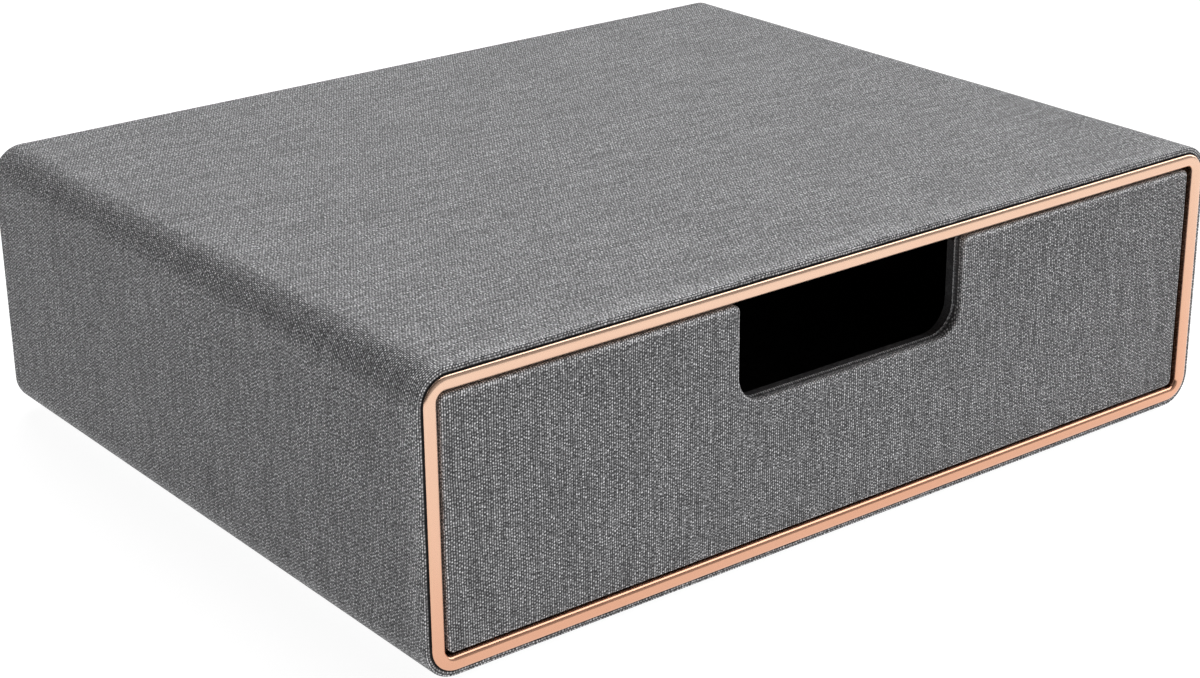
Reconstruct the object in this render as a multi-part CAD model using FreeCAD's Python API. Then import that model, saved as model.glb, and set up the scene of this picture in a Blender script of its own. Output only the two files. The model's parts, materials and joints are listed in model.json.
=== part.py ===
import FreeCAD, Part
import os

# A file box with one drawer: a cloth-wrapped board casing with a metal frame round its mouth,
# and a cloth-fronted tray that slides in it. Sizes are in millimetres. X is the width, the
# front faces -Y, and z = 0 is the surface that the box stands on.

# ---- Casing, measured over its cloth ----
casing_width = 340.0
casing_depth = 270.0
casing_height = 99.0
edge_radius = 11.0          # the four long edges that run from front to back

# ---- Sheets that the casing is made of ----
casing_board = 5.0
cloth = 0.7                 # linen cloth with its paper backing
corner_land = 3.0           # straight leg of a corner post past the rounded edge
rear_fold = 14.0            # width of cloth folded over the back board
rear_margin = 3.0           # folded cloth left showing round the back cover
cloth_round = 0.5           # rounding where cloth turns over a sharp board edge

# ---- Metal trim frame ----
trim_margin = 2.3           # cloth left showing outside the frame
trim_proud = 1.3            # how far the frame's face stands in front of the casing
trim_flange = 0.6           # thickness of the return flange that lines the mouth
flange_depth = 8.0
mouth_radius = 3.0          # inner corners of the frame
trim_outer_round = 1.2
trim_inner_round = 0.8

# ---- Feet ----
foot_height = 2.0
foot_radius = 7.0
foot_inset = 22.0           # foot's axis from the casing's sides
foot_round = 0.5

# ---- Brads that pin the back board ----
brad_radius = 0.6
brad_length = 16.0
brad_head_radius = 1.0
brad_head = 0.5
brads_across = 5            # along the top board, and along the bottom one
brads_up = 2                # up each side board
brad_end = 16.0             # first and last brad from the end of their board
hole_fit = 0.05             # radial room round a brad or a screw

# ---- Drawer: running gaps ----
side_gap = 1.6              # each side of the drawer's front, inside the frame
top_gap = 1.3
front_lift = 0.5            # the front's lower edge over the floor lining
slide_gap = 0.3             # the tray's underside over the floor lining
rear_gap = 1.0
drawer_inset = 0.3          # the front's face behind the casing's front edge

# ---- Drawer: wrapped front with its pull notch ----
front_board = 3.6
front_corner = 2.5          # corners of the front, and the notch's upper corners
front_round = 1.4           # soft edge round the front's face
notch_width = 98.0
notch_depth = 34.3
notch_radius = 10.0
front_fold = 12.0           # cloth folded over the back of the front

# ---- Drawer: tray behind the front ----
tray_board = 3.0
skin = 0.5                  # black skin outside, black lining inside
tray_step = 1.0             # the front overhangs the tray at each side
tray_drop = 3.0             # the tray's rim below the top of the front
tray_notch_margin = 0.5     # the tray's notch is this much wider than the front's

# ---- Screws that hold the front to the tray ----
screw_radius = 1.5
screw_head_radius = 2.9
screw_head = 1.6
screw_length = 6.5
screw_side = 30.0           # screw's axis from the side of the front
screw_edge = 18.0           # screw's axis from the top and bottom of the front

# ---- Places that follow from the sizes ----
half_width = casing_width / 2
casing_bottom = foot_height
casing_top = foot_height + casing_height
casing_back = (casing_depth + trim_proud) / 2
casing_front = casing_back - casing_depth
trim_front = casing_front - trim_proud

board_inner = cloth + casing_board
fold_inner = board_inner + cloth
mouth_inset = fold_inner + trim_flange
lining = mouth_inset - board_inner

ring_front = casing_front + cloth
cover_front = casing_back - cloth
back_board_back = cover_front - cloth
ring_back = back_board_back - casing_board
lining_front = casing_front + flange_depth
lining_back = ring_back - lining

floor_top = casing_bottom + mouth_inset
ceiling = casing_top - mouth_inset

front_face = casing_front + drawer_inset
front_rear = front_face + front_board + 2 * cloth
front_half = half_width - mouth_inset - side_gap
front_bottom = floor_top + front_lift
front_top = ceiling - top_gap
notch_half = notch_width / 2
notch_bottom = front_top - notch_depth

tray_wall = tray_board + 2 * skin
tray_half = front_half - tray_step
tray_back = lining_back - rear_gap
tray_bottom = floor_top + slide_gap
tray_top = front_top - tray_drop
tray_floor = tray_bottom + tray_wall
tray_notch_grow = tray_notch_margin + skin

near = 0.001                # two places closer than this are the same


def slab(x_from, x_to, y_from, y_to, z_from, z_to):
    """Box between six planes."""
    corner = FreeCAD.Vector(x_from, y_from, z_from)
    return Part.makeBox(x_to - x_from, y_to - y_from, z_to - z_from, corner)


def edges_along_y(shape):
    """Straight edges that run from front to back."""
    return [edge for edge in shape.Edges
            if edge.BoundBox.XLength < near and edge.BoundBox.ZLength < near]


def edges_at_y(shape, y):
    """Edges that lie in the plane of one y."""
    return [edge for edge in shape.Edges
            if abs(edge.BoundBox.YMin - y) < near and abs(edge.BoundBox.YMax - y) < near]


def rounded_slab(radius, *planes):
    """Box whose four edges from front to back are rounded."""
    block = slab(*planes)
    return block.makeFillet(radius, edges_along_y(block))


def casing_bar(inset, y_from, y_to, radius=0.0):
    """Bar with the casing's outline, moved inwards by an inset, from one y to another."""
    planes = (inset - half_width, half_width - inset, y_from, y_to,
              casing_bottom + inset, casing_top - inset)
    return rounded_slab(radius, *planes) if radius else slab(*planes)


def rod(radius, y_from, y_to, x, z):
    """Round rod along Y."""
    return Part.makeCylinder(radius, y_to - y_from, FreeCAD.Vector(x, y_from, z), FreeCAD.Vector(0, 1, 0))


def spread(count, reach):
    """Evenly spaced places from -reach to reach."""
    return [-reach + 2 * reach * step / (count - 1) for step in range(count)]


# ---- Casing ----

def brad_places():
    """Axes of the brads, in the middle of the boards' rear edges."""
    middle_z = (casing_top + casing_bottom) / 2
    rise = casing_height / 2 - cloth - casing_board / 2
    run = half_width - cloth - casing_board / 2
    reach_x = half_width - edge_radius - corner_land - brad_end
    reach_z = casing_height / 2 - edge_radius - corner_land - brad_end / 2
    rows = [(x, middle_z + side * rise) for side in (-1, 1) for x in spread(brads_across, reach_x)]
    columns = [(side * run, middle_z + z) for side in (-1, 1) for z in spread(brads_up, reach_z)]
    return rows + columns


def brad(x, z, room):
    """A brad with its head flush in the back board; room makes it the hole it sits in."""
    shank = rod(brad_radius + room, back_board_back - brad_length - room, back_board_back, x, z)
    head = rod(brad_head_radius + room, back_board_back - brad_head - room, back_board_back, x, z)
    return shank.fuse(head).removeSplitter()


def casing_back_brads():
    return Part.makeCompound([brad(x, z, 0.0) for x, z in brad_places()])


def brad_holes():
    return Part.makeCompound([brad(x, z, hole_fit) for x, z in brad_places()])


def casing_ring():
    """The four boards and the four corner posts, before they are parted."""
    outside = casing_bar(cloth, ring_front, ring_back, edge_radius - cloth)
    inside = casing_bar(board_inner, ring_front, ring_back)
    return outside.cut(inside).cut(brad_holes())


def casing_boards():
    """Boards between the corner posts, and the posts themselves."""
    ring = casing_ring()
    leg = edge_radius + corner_land
    spans_x = {"left": (-half_width, leg - half_width), "right": (half_width - leg, half_width)}
    spans_z = {"bottom": (casing_bottom, casing_bottom + leg), "top": (casing_top - leg, casing_top)}
    middle_x = (leg - half_width, half_width - leg)
    middle_z = (casing_bottom + leg, casing_top - leg)
    nodes = {}
    for level, span_z in spans_z.items():
        nodes[f"casing_{level}_board"] = ring.common(slab(*middle_x, ring_front, ring_back, *span_z))
        for side, span_x in spans_x.items():
            corner = slab(*span_x, ring_front, ring_back, *span_z)
            nodes[f"{level}_{side}_corner_post"] = ring.common(corner)
    for side, span_x in spans_x.items():
        nodes[f"casing_{side}_board"] = ring.common(slab(*span_x, ring_front, ring_back, *middle_z))
    return nodes


def casing_back_board():
    plate = casing_bar(cloth, ring_back, back_board_back, edge_radius - cloth)
    return plate.cut(brad_holes())


def casing_wrap():
    """Cloth sleeve that folds over the mouth's edge, into the mouth, and over the back board."""
    sleeve = casing_bar(0.0, casing_front, cover_front, edge_radius)
    ends = edges_at_y(sleeve, casing_front) + edges_at_y(sleeve, cover_front)
    sleeve = sleeve.makeFillet(cloth_round, ends)
    sleeve = sleeve.cut(casing_bar(cloth, ring_front, back_board_back, edge_radius - cloth))
    sleeve = sleeve.cut(casing_bar(fold_inner, casing_front, ring_front))
    sleeve = sleeve.cut(back_filler_card())
    turn_in = casing_bar(board_inner, ring_front, lining_front)
    turn_in = turn_in.cut(casing_bar(fold_inner, ring_front, lining_front))
    return sleeve.fuse(turn_in).removeSplitter()


def back_filler_card():
    return casing_bar(rear_fold, back_board_back, cover_front)


def casing_back_cover():
    panel = casing_bar(rear_margin, cover_front, casing_back, edge_radius - rear_margin)
    return panel.makeFillet(cloth_round, edges_at_y(panel, casing_back))


def front_trim_frame():
    """Frame with a rounded face, and a thin flange that lines the mouth behind it."""
    face = casing_bar(trim_margin, trim_front, casing_front, edge_radius - trim_margin)
    face = face.makeFillet(trim_outer_round, edges_at_y(face, trim_front))
    flange = casing_bar(fold_inner, casing_front, lining_front, mouth_radius + trim_flange)
    frame = face.fuse(flange).cut(casing_bar(mouth_inset, trim_front, lining_front, mouth_radius))
    inner_reach = half_width - mouth_inset + near
    inner = [edge for edge in edges_at_y(frame, trim_front)
             if edge.BoundBox.XMax < inner_reach and edge.BoundBox.XMin > -inner_reach]
    return frame.removeSplitter().makeFillet(trim_inner_round, inner)


def bay_linings():
    """Cards that line the bay behind the frame, level with its flange."""
    x_board = half_width - board_inner
    x_bay = half_width - mouth_inset
    z_low = casing_bottom + board_inner
    z_high = casing_top - board_inner
    depth = (lining_front, lining_back)
    return {
        "bay_floor_lining": slab(-x_board, x_board, *depth, z_low, floor_top),
        "bay_ceiling_lining": slab(-x_board, x_board, *depth, ceiling, z_high),
        "bay_left_lining": slab(-x_board, -x_bay, *depth, floor_top, ceiling),
        "bay_right_lining": slab(x_bay, x_board, *depth, floor_top, ceiling),
        "bay_back_lining": slab(-x_board, x_board, lining_back, ring_back, z_low, z_high),
    }


def foot(x, y):
    """Round pad with a softened lower edge."""
    pad = Part.makeCylinder(foot_radius, foot_height, FreeCAD.Vector(x, y, 0))
    lower = [edge for edge in pad.Edges if edge.BoundBox.ZMax < near]
    return pad.makeFillet(foot_round, lower)


def feet():
    places_x = {"left": foot_inset - half_width, "right": half_width - foot_inset}
    places_y = {"front": casing_front + foot_inset, "rear": casing_back - foot_inset}
    return {f"{end}_{side}_foot": foot(x, y)
            for end, y in places_y.items() for side, x in places_x.items()}


# ---- Drawer ----

def notch_cutter(grow, y_from, y_to):
    """What is cut away for the pull notch; it runs on above the drawer."""
    radius = notch_radius + grow
    half = notch_half + grow
    return rounded_slab(radius, -half, half, y_from, y_to, notch_bottom - grow, front_top + 2 * radius)


def notched_front(inset, y_from, y_to):
    """The drawer front's solid, an inset under its cloth surface, with a soft edge on its face."""
    corner = front_corner - inset
    half = front_half - inset
    low = front_bottom + inset
    high = front_top - inset
    panel = rounded_slab(corner, -half, half, y_from, y_to, low, high)
    panel = panel.cut(notch_cutter(inset, y_from, y_to))
    lips = [edge for edge in edges_along_y(panel)
            if edge.BoundBox.ZMin > high - near and abs(edge.BoundBox.XMin) < notch_half + inset + near]
    panel = panel.makeFillet(corner, lips)
    return panel.makeFillet(front_round - inset, edges_at_y(panel, y_from))


def front_screw(x, z, room):
    """Countersunk screw driven forwards from inside the tray; room makes it the hole it sits in."""
    head_face = front_rear + skin + tray_board
    forwards = FreeCAD.Vector(0, -1, 0)
    shank = Part.makeCylinder(screw_radius + room, screw_length + room,
                              FreeCAD.Vector(x, head_face, z), forwards)
    head = Part.makeCone(screw_head_radius + room, screw_radius + room, screw_head,
                         FreeCAD.Vector(x, head_face, z), forwards)
    return shank.fuse(head).removeSplitter()


def screws(room):
    reach = front_half - screw_side
    levels = (front_bottom + screw_edge, front_top - screw_edge)
    return Part.makeCompound([front_screw(side * reach, z, room) for side in (-1, 1) for z in levels])


def front_pieces():
    """Notched board, the cloth round it, and the card that levels the cloth's fold."""
    card_front = front_rear - cloth
    block = notched_front(cloth, front_face + cloth, card_front)
    card = slab(front_fold - front_half, front_half - front_fold, card_front, front_rear,
                front_bottom + front_fold, front_top - front_fold)
    fold_half = notch_half + front_fold
    card = card.cut(slab(-fold_half, fold_half, card_front, front_rear,
                         notch_bottom - front_fold, front_top))
    cover = notched_front(0.0, front_face, front_rear).cut(block).cut(card)
    holes = screws(hole_fit)
    return {
        "drawer_front_board": block.cut(holes),
        "drawer_front_cover": cover,
        "drawer_front_backing_card": card.cut(holes),
        "drawer_front_screws": screws(0.0),
    }


def tray_block(inset, top):
    """Solid block inside the tray's outline, moved inwards by an inset, up to a given top."""
    return slab(inset - tray_half, tray_half - inset, front_rear + inset, tray_back - inset,
                tray_bottom + inset, top)


def tray_boards():
    """A floor board with four walls on it; the front and back walls run the whole width."""
    outer = tray_half - skin
    inner = outer - tray_board
    front = front_rear + skin
    back = tray_back - skin
    low = tray_bottom + skin
    walls = (low + tray_board, tray_top - skin)
    front_wall = slab(-outer, outer, front, front + tray_board, *walls)
    front_wall = front_wall.cut(notch_cutter(tray_notch_grow, front, front + tray_board))
    return {
        "drawer_box_bottom_board": slab(-outer, outer, front, back, low, low + tray_board),
        "drawer_box_front_board": front_wall.cut(screws(hole_fit)),
        "drawer_box_back_board": slab(-outer, outer, back - tray_board, back, *walls),
        "drawer_box_left_board": slab(-outer, -inner, front + tray_board, back - tray_board, *walls),
        "drawer_box_right_board": slab(inner, outer, front + tray_board, back - tray_board, *walls),
    }


def tray_skins():
    """Skin over the tray's outside and rim, lining round its walls, and lining on its floor."""
    rim = tray_top - skin
    through = (front_rear, front_rear + tray_wall)
    well = slab(tray_wall - tray_half, tray_half - tray_wall, front_rear + tray_wall,
                tray_back - tray_wall, tray_floor, tray_top)
    core = tray_block(skin, rim).cut(notch_cutter(tray_notch_grow, *through))
    cover = tray_block(0.0, tray_top).cut(notch_cutter(tray_notch_margin, *through))
    cover = cover.cut(core).cut(well).cut(screws(hole_fit))
    floor_lining = slab(tray_wall - tray_half, tray_half - tray_wall, front_rear + tray_wall,
                        tray_back - tray_wall, tray_floor - skin, tray_floor)
    behind = skin + tray_board
    wall_lining = slab(behind - tray_half, tray_half - behind, front_rear + behind,
                       tray_back - behind, tray_floor - skin, rim)
    wall_lining = wall_lining.cut(well).cut(floor_lining).cut(notch_cutter(tray_notch_grow, *through))
    return {
        "drawer_box_cover": cover,
        "drawer_floor_lining": floor_lining,
        "drawer_wall_lining": wall_lining,
    }


def all_nodes():
    """Every piece of the box, by name."""
    return {
        **casing_boards(),
        "casing_back_board": casing_back_board(),
        "casing_back_brads": casing_back_brads(),
        "casing_wrap": casing_wrap(),
        "back_filler_card": back_filler_card(),
        "casing_back_cover": casing_back_cover(),
        "front_trim_frame": front_trim_frame(),
        **bay_linings(),
        **feet(),
        **front_pieces(),
        **tray_boards(),
        **tray_skins(),
    }


os.makedirs("parts", exist_ok=True)
for name, shape in all_nodes().items():
    shape.exportStep(f"parts/{name}.step")
    print(f"{name:28s} solids {len(shape.Solids):2d}  volume {shape.Volume / 1000:9.3f} cm3  valid {shape.isValid()}")
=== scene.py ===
import json
import math

import bmesh
import bpy
from bpy.props import FloatProperty, FloatVectorProperty, PointerProperty
from mathutils import Matrix, Vector, noise


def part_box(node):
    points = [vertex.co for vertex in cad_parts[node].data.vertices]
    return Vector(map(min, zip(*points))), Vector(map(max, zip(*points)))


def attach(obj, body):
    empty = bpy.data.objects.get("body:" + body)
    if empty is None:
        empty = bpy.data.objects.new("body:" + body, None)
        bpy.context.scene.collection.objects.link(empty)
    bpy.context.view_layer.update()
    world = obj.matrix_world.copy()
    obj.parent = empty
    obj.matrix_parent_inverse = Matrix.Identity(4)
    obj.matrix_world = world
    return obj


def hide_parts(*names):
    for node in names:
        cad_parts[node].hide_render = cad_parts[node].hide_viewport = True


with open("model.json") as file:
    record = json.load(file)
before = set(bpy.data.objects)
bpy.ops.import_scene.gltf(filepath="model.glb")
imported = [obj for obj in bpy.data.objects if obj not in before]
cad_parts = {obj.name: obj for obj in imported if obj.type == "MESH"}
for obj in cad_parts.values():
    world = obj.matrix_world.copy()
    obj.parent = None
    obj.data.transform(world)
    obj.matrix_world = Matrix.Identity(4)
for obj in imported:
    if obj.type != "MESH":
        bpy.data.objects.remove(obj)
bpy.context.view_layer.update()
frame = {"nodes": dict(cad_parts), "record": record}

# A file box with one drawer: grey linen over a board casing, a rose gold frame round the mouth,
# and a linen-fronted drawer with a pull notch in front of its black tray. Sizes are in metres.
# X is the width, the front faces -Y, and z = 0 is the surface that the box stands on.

bl_info = {
    "name": "File box with drawer",
    "version": (1, 0, 0),
    "blender": (4, 5, 0),
    "location": "3D View > Sidebar > File Box",
    "description": "Linen-covered file box with a metal-framed mouth and a drawer with a pull notch",
    "category": "Object",
}

MM = 0.001
NEAR = 1e-7                # two places closer than this are the same
MERGED = 1e-5              # a corner of no radius still spreads by up to this
TIGHTEST = 0.2 * MM        # smallest radius left to a corner that is moved inwards

# ---- Places taken from the frame ----
wrap_low, wrap_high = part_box("casing_wrap")
board_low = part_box("casing_left_board")[0]
ring_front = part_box("casing_top_board")[0].y
back_board_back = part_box("casing_back_board")[1].y
card_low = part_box("back_filler_card")[0]
cover_low, cover_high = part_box("casing_back_cover")
trim_low, trim_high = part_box("front_trim_frame")
bay_left_low, bay_left_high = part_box("bay_left_lining")
front_low, front_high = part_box("drawer_front_cover")
backing_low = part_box("drawer_front_backing_card")[0]
tray_low, tray_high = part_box("drawer_box_cover")
tray_board_low, tray_board_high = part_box("drawer_box_left_board")
floor_lining_low, floor_lining_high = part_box("drawer_floor_lining")

half_width, half_height = wrap_high.x, (wrap_high.z - wrap_low.z) / 2
middle = (wrap_low.z + wrap_high.z) / 2
cloth = board_low.x - wrap_low.x
board_inner = bay_left_low.x - wrap_low.x
mouth_inset = bay_left_high.x - wrap_low.x
trim_margin = trim_low.x - wrap_low.x
rear_margin = cover_low.x - wrap_low.x
rear_fold = card_low.x - wrap_low.x
front_fold = backing_low.x - front_low.x
skin = tray_board_low.x - tray_low.x
tray_board = tray_board_high.x - tray_board_low.x


def length(name, description, default):
    """A size that a user may change."""
    return FloatProperty(name=name, description=description, default=default, min=0.0,
                         subtype="DISTANCE", unit="LENGTH", precision=4)


def colour(name, description, default):
    """A colour that a user may change."""
    return FloatVectorProperty(name=name, description=description, default=default, size=3,
                               min=0.0, max=1.0, subtype="COLOR")


def angle(name, description, degrees):
    """An angle that a user may change."""
    return FloatProperty(name=name, description=description, default=math.radians(degrees),
                         subtype="ANGLE", unit="ROTATION")


def amount(name, description, default):
    """A plain number that a user may change."""
    return FloatProperty(name=name, description=description, default=default, min=0.0)


class CasingSettings(bpy.types.PropertyGroup):
    edge_radius: length("Edge radius", "Radius of the four long edges, over the cloth", 11 * MM)
    cloth_round: length("Cloth turn", "Rounding where the cloth turns over a board edge", 0.6 * MM)
    ripple: length("Ripple", "How far the cloth lifts off the boards in slow waves", 0.22 * MM)
    edge_ripple: length("Edge ripple", "The same on the long upper edges", 0.35 * MM)
    groove_width: length("Groove width", "Groove in the cloth along the metal frame", 0.55 * MM)
    groove_depth: length("Groove depth", "How deep the frame presses the groove", 0.55 * MM)
    # The next two settings are painted light: a pale highlight along the front lip and darker shade in the
    # groove.
    lip_painted_highlight: amount("Lip painted highlight", "How much paler the cloth is along the front lip", 0.3)
    seam_shade: amount("Seam shade", "How much darker the cloth is in the groove", 0.88)
    back_round: length("Back cover rounding", "Soft edge of the back cover", 0.6 * MM)


class TrimSettings(bpy.types.PropertyGroup):
    mouth_radius: length("Mouth radius", "Inner corner radius of the frame", 3 * MM)
    flange: length("Flange", "Thickness of the return flange", 0.6 * MM)
    outer_run: length("Outer rounding, width", "How far the outer rounding runs over the face", 2.0 * MM)
    outer_drop: length("Outer rounding, depth", "How far it falls back", 0.9 * MM)
    inner_run: length("Inner rounding, width", "How far the inner rounding runs over the face", 1.9 * MM)
    inner_drop: length("Inner rounding, depth", "How far it falls back", 1.5 * MM)
    undercut: length("Undercut", "How far the frame's back is set in under its outer edge", 0.5 * MM)
    burr: length("Edge break", "Tiny rounding of the sheared edges", 0.12 * MM)


class DrawerSettings(bpy.types.PropertyGroup):
    notch_width: length("Notch width", "Width of the pull notch", 98 * MM)
    notch_depth: length("Notch depth", "How far the notch reaches down from the front's top", 34.3 * MM)
    notch_radius: length("Notch radius", "Radius of the notch's lower corners", 10 * MM)
    front_corner: length("Corner radius", "Corners of the front and the notch's upper corners", 2.5 * MM)
    front_round: length("Front rounding", "Soft edge round the front's face", 0.8 * MM)
    rear_round: length("Rear rounding", "Rounding at the rear edge of the front", 0.3 * MM)
    edge_dip: length("Edge dip", "Crease of the cloth just before the front's rear edge", 0.62 * MM)
    # The next four settings are painted light: pale highlights on the front's edges and along its top bead,
    # and darker shade in the crease.
    edge_painted_highlight: amount("Edge painted highlight", "How much paler the cloth is on the front's edges", 0.6)
    crease_shade: amount("Crease shade", "How much darker the cloth is in the crease", 0.8)
    top_bead: length("Top bead", "How far the pale top edge reaches down the face", 1.5 * MM)
    bead_painted_highlight: amount("Bead painted highlight", "How much paler the cloth is along the front's top edge", 1.0)
    tray_notch_margin: length("Tray notch margin", "How much wider the tray's notch is", 0.5 * MM)
    rim_round: length("Rim rounding", "Soft edge of the tray's rim", 0.8 * MM)
    lining_drop: length("Lining drop", "How far the lining ends below the rim", 1.2 * MM)


class FinishSettings(bpy.types.PropertyGroup):
    yarn_light: colour("Light yarn", "Pale flax yarn", (0.96, 0.96, 0.98))
    yarn_dark: colour("Dark yarn", "Charcoal yarn", (0.035, 0.035, 0.037))
    coarse_pitch: length("Coarse pitch", "Spacing of the thick yarns", 0.862 * MM)
    fine_pitch: length("Fine pitch", "Spacing of the thin yarns", 0.55 * MM)
    metal: colour("Metal", "Rose gold of the frame", (0.80, 0.55, 0.41))
    # Painted shade as well as grain: the frame turns towards this tone at its foot, and its drawn lines
    # carry it.
    metal_deep_grain_and_shade: colour("Deep metal", "Redder patches of the frame", (0.74, 0.39, 0.255))
    lining: colour("Lining", "Black paper and felt", (0.04, 0.04, 0.042))


class StageSettings(bpy.types.PropertyGroup):
    lens: FloatProperty(name="Lens", description="Focal length", default=74.905, unit="CAMERA")
    azimuth: angle("Azimuth", "Camera's turn round the box", -37.7905)
    elevation: angle("Elevation", "Camera's height over the horizon", 21.9603)
    roll: angle("Roll", "Camera's tilt", -0.5318)
    distance: length("Distance", "Camera to the middle of the casing", 0.9103)
    slide: FloatProperty(name="Slide", description="Camera to the right", default=0.0006, unit="LENGTH")
    rise: FloatProperty(name="Rise", description="Camera upwards", default=-0.0230, unit="LENGTH")
    key: amount("Key light", "Large soft light from the right", 4.1)
    fill: amount("Fill light", "Soft light from the front", 0.03)
    wall: amount("Wall", "Brightness of the pale wall at the front right", 0.265)
    room: amount("Room", "Brightness of the rest of the room", 0.12)
    table_glow: amount("Table glow", "Light that comes up through the white table", 0.92)


class FileBoxSettings(bpy.types.PropertyGroup):
    casing: PointerProperty(type=CasingSettings)
    trim: PointerProperty(type=TrimSettings)
    drawer: PointerProperty(type=DrawerSettings)
    finish: PointerProperty(type=FinishSettings)
    stage: PointerProperty(type=StageSettings)


# ---- Modelling ----

def turn(start, corner, end, steps):
    """Points of a quarter of an ellipse from start to end, which leaves and arrives towards corner."""
    points = []
    for step in range(steps + 1):
        at = math.pi / 2 * step / steps
        out, back = math.sin(at), 1 - math.cos(at)
        points.append(tuple(a + (c - a) * out + (b - c) * back for a, c, b in zip(start, corner, end)))
    return points


def casing_corners(inset, radius):
    """Corners of the casing's outline, moved inwards: x, z and radius of each."""
    x = half_width - inset
    low, high = wrap_low.z + inset, wrap_high.z - inset
    return [(-x, low, radius), (x, low, radius), (x, high, radius), (-x, high, radius)]


def ring(bm, corners, y, segments, cuts_x=0, cuts_z=0, filled=False):
    """Outline in the plane of one y, with rounded corners and its straights divided: its edges."""
    known = set(bm.edges)
    verts = [bm.verts.new((x, y, z)) for x, z, _ in corners]
    bm.faces.new(verts)
    for vert, (_, _, radius) in zip(verts, corners):
        bmesh.ops.bevel(bm, geom=[vert], offset=radius, segments=segments, profile=0.5,
                        affect="VERTICES", material=-1)
    edges = [edge for edge in bm.edges if edge not in known]
    if not filled:
        bmesh.ops.delete(bm, geom=list(edges[0].link_faces), context="FACES_ONLY")
    for across, cuts in ((2, cuts_x), (0, cuts_z)):
        level = [edge for edge in bm.edges if edge not in known
                 and abs(edge.verts[0].co[across] - edge.verts[1].co[across]) < NEAR]
        if cuts:
            bmesh.ops.subdivide_edges(bm, edges=level, cuts=cuts)
    return [edge for edge in bm.edges if edge not in known]


def loft(bm, rings, closed=False):
    """Bridges each ring to the next, and the last to the first where the section is closed."""
    pairs = list(zip(rings, rings[1:] + rings[:1] if closed else rings[1:]))
    # Rings of one plane go first: their bridge comes out twisted once they hold other faces.
    pairs.sort(key=lambda pair: abs(pair[0][0].verts[0].co.y - pair[1][0].verts[0].co.y) > NEAR)
    for one, other in pairs:
        bmesh.ops.bridge_loops(bm, edges=one + other)


def outwards(bm):
    """Merges doubles and points every face outwards."""
    bmesh.ops.remove_doubles(bm, verts=bm.verts, dist=NEAR)
    bmesh.ops.recalc_face_normals(bm, faces=bm.faces)


def lay_map(bm, place, around=0.0):
    """Gives the mesh a UV map in millimetres of cloth; around is the girth where the cloth closes."""
    layer = bm.loops.layers.uv.new("Cloth")
    for face in bm.faces:
        first = place(face.calc_center_median(), face.normal)
        for loop in face.loops:
            s, t = place(loop.vert.co, loop.vert.normal)
            if around and abs(t - first[1]) > around / 2:
                t += around if t < first[1] else -around
            loop[layer].uv = (s / MM, t / MM)


def paint_light_and_shade(bm, share):
    """Marks each vertex with its painted highlight (above 0) or painted shade (down to -1)."""
    layer = bm.verts.layers.float.new("PaintedLightAndShade")
    for vert in bm.verts:
        vert[layer] = share(vert.co)


def new_object(name, data):
    """Links a new object to the scene."""
    made = bpy.data.objects.new(name, data)
    bpy.context.scene.collection.objects.link(made)
    return made


def object_of(name, bm, material):
    """Makes an object of a bmesh."""
    mesh = bpy.data.meshes.new(name)
    bm.to_mesh(mesh)
    bm.free()
    mesh.materials.append(material)
    return new_object(name, mesh)


def finish_piece(name, bm, body, slot, nodes, *modifiers):
    """Makes a piece in its slot's finish, puts it on its body and hides the nodes it stands for."""
    for face in bm.faces:
        face.smooth = True
    piece = object_of(name, bm, material_for(slot))
    for kind, settings in modifiers:
        modifier = piece.modifiers.new(kind.title(), kind)
        for key, value in settings.items():
            setattr(modifier, key, value)
    weighted = piece.modifiers.new("Weighted normals", "WEIGHTED_NORMAL")
    weighted.keep_sharp = True
    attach(piece, body)
    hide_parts(*nodes)


def thickness(size):
    """Solidify modifier that gives a skin its thickness on the inner side."""
    return ("SOLIDIFY", {"thickness": size, "offset": -1.0, "use_even_offset": True,
                         "use_quality_normals": True})


def soft_edges(width, segments):
    """Bevel modifier that breaks every edge sharper than 35 degrees."""
    return ("BEVEL", {"width": width, "segments": segments, "limit_method": "ANGLE",
                      "angle_limit": math.radians(35)})


# ---- Materials ----

NOISE_SPAN = (0.3, 0.7)    # where nearly all values of a noise texture lie
WHITE = (1.0, 1.0, 1.0, 1.0)


def feed(tree, socket, value):
    """Links a socket's output, or writes a plain value."""
    if isinstance(value, bpy.types.NodeSocket):
        tree.links.new(value, socket)
    else:
        socket.default_value = value


def fill(tree, made, inputs):
    """Feeds a node's inputs by name."""
    for key, value in inputs.items():
        feed(tree, made.inputs[key], value)


def node(tree, kind, inputs=None, **settings):
    """Adds a node, writes its settings and fills its inputs."""
    made = tree.nodes.new("ShaderNode" + kind)
    for key, value in settings.items():
        setattr(made, key, value)
    fill(tree, made, inputs or {})
    return made


def calc(tree, operation, *values):
    """Math node: the result's socket."""
    made = node(tree, "Math", operation=operation)
    for socket, value in zip(made.inputs, values):
        feed(tree, socket, value)
    return made.outputs[0]


def times(tree, one, other):
    """Product of two values."""
    return calc(tree, "MULTIPLY", one, other)


def blend(tree, share, one, other):
    """Colour mix: the result's socket."""
    made = node(tree, "Mix", data_type="RGBA")
    factor, first, second = (made.inputs[at] for at in (0, 6, 7))
    feed(tree, factor, share)
    for socket, value in ((first, one), (second, other)):
        feed(tree, socket, value if isinstance(value, bpy.types.NodeSocket) else (*value, 1.0))
    return made.outputs[2]


def remap(tree, value, low, high, to_low, to_high):
    """Map Range node, clamped."""
    made = node(tree, "MapRange", {"Value": value, "From Min": low, "From Max": high,
                                   "To Min": to_low, "To Max": to_high})
    return made.outputs["Result"]


def spread(tree, value, to_low, to_high, span=NOISE_SPAN):
    """Stretches the usual span of a noise to a range."""
    return remap(tree, value, *span, to_low, to_high)


def two_tone(tree, pattern, one, other, most=1.0, span=NOISE_SPAN):
    """Blends towards a second colour where a pattern is high, by at most a share."""
    return blend(tree, spread(tree, pattern, 0.0, most, span), one, other)


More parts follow.
